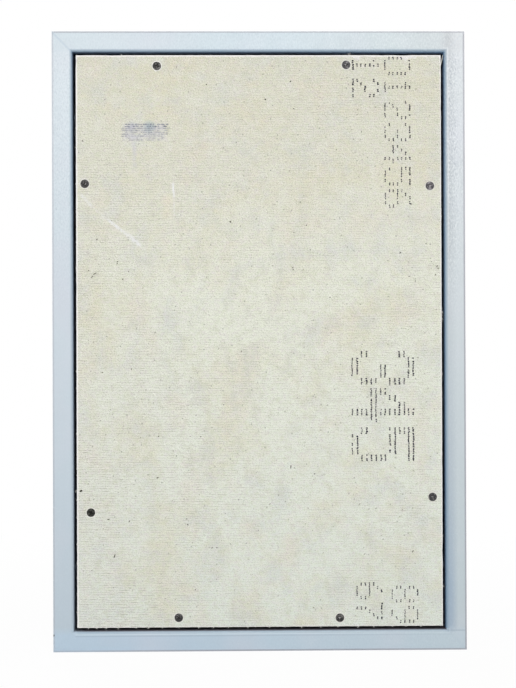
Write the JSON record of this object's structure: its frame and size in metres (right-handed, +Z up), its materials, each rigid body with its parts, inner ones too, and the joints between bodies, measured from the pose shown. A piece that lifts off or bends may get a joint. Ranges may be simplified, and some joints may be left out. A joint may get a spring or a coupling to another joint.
{
  "type": "tile access panel",
  "caption": "Access panel for a tiled wall: a folded steel frame with a flange, and a fibre-board door to tile over, let go by push latches and lifted out by hand.",
  "frame": {"origin": "middle of the wall opening that the frame lines, in the plane of the wall's face", "axes": "+X to the right, +Y into the wall, +Z up; the board and the flange face -Y"},
  "size_m": [0.4, 0.0775, 0.6],
  "materials": {
    "frame_paint": "satin",
    "fibre_board": "matte",
    "screw_black": "matte",
    "buffer_foam": "matte",
    "pad_nylon": "matte",
    "latch_housing_plastic": "matte",
    "plunger_nylon": "satin",
    "magnet_nickel": "polished",
    "spring_steel": "satin"
  },
  "bodies": {
    "frame": {"frame_top_rail": "frame_paint", "frame_bottom_rail": "frame_paint", "frame_left_rail": "frame_paint", "frame_right_rail": "frame_paint", "buffer_strip_top": "buffer_foam", "buffer_strip_bottom": "buffer_foam", "buffer_strip_left": "buffer_foam", "buffer_strip_right": "buffer_foam", "support_pad_left": "pad_nylon", "support_pad_right": "pad_nylon", "side_pad_left_upper": "pad_nylon", "side_pad_left_lower": "pad_nylon", "side_pad_right_upper": "pad_nylon", "side_pad_right_lower": "pad_nylon", "latch_housing_1": "latch_housing_plastic", "latch_housing_2": "latch_housing_plastic", "latch_housing_3": "latch_housing_plastic", "latch_housing_4": "latch_housing_plastic", "latch_springs": "spring_steel", "latch_pins": "spring_steel"},
    "plunger_1": {"latch_plunger_1": "plunger_nylon", "latch_magnet_1": "magnet_nickel"},
    "plunger_2": {"latch_plunger_2": "plunger_nylon", "latch_magnet_2": "magnet_nickel"},
    "plunger_3": {"latch_plunger_3": "plunger_nylon", "latch_magnet_3": "magnet_nickel"},
    "plunger_4": {"latch_plunger_4": "plunger_nylon", "latch_magnet_4": "magnet_nickel"},
    "door": {"board": "fibre_board", "door_rail_top": "frame_paint", "door_rail_bottom": "frame_paint", "door_rail_left": "frame_paint", "door_rail_right": "frame_paint", "board_screws": "screw_black"}
  },
  "joints": [
    {"name": "latch_push_1", "type": "slide", "parent": "frame", "child": "plunger_1", "axis": [0, -1, 0], "range_m": [-0.003, 0.01], "deforming": ["latch_springs"]},
    {"name": "latch_push_2", "type": "slide", "parent": "frame", "child": "plunger_2", "axis": [0, -1, 0], "range_m": [-0.003, 0.01]},
    {"name": "latch_push_3", "type": "slide", "parent": "frame", "child": "plunger_3", "axis": [0, -1, 0], "range_m": [-0.003, 0.01]},
    {"name": "latch_push_4", "type": "slide", "parent": "frame", "child": "plunger_4", "axis": [0, -1, 0], "range_m": [-0.003, 0.01]},
    {"name": "door_lift_out", "type": "slide", "parent": "plunger_1", "child": "door", "axis": [0, -1, 0], "range_m": [0, 0.08]}
  ],
  "couplings": [
    {"joint": "latch_push_2", "follows": "latch_push_1", "ratio": 1},
    {"joint": "latch_push_3", "follows": "latch_push_1", "ratio": 1},
    {"joint": "latch_push_4", "follows": "latch_push_1", "ratio": 1}
  ]
}
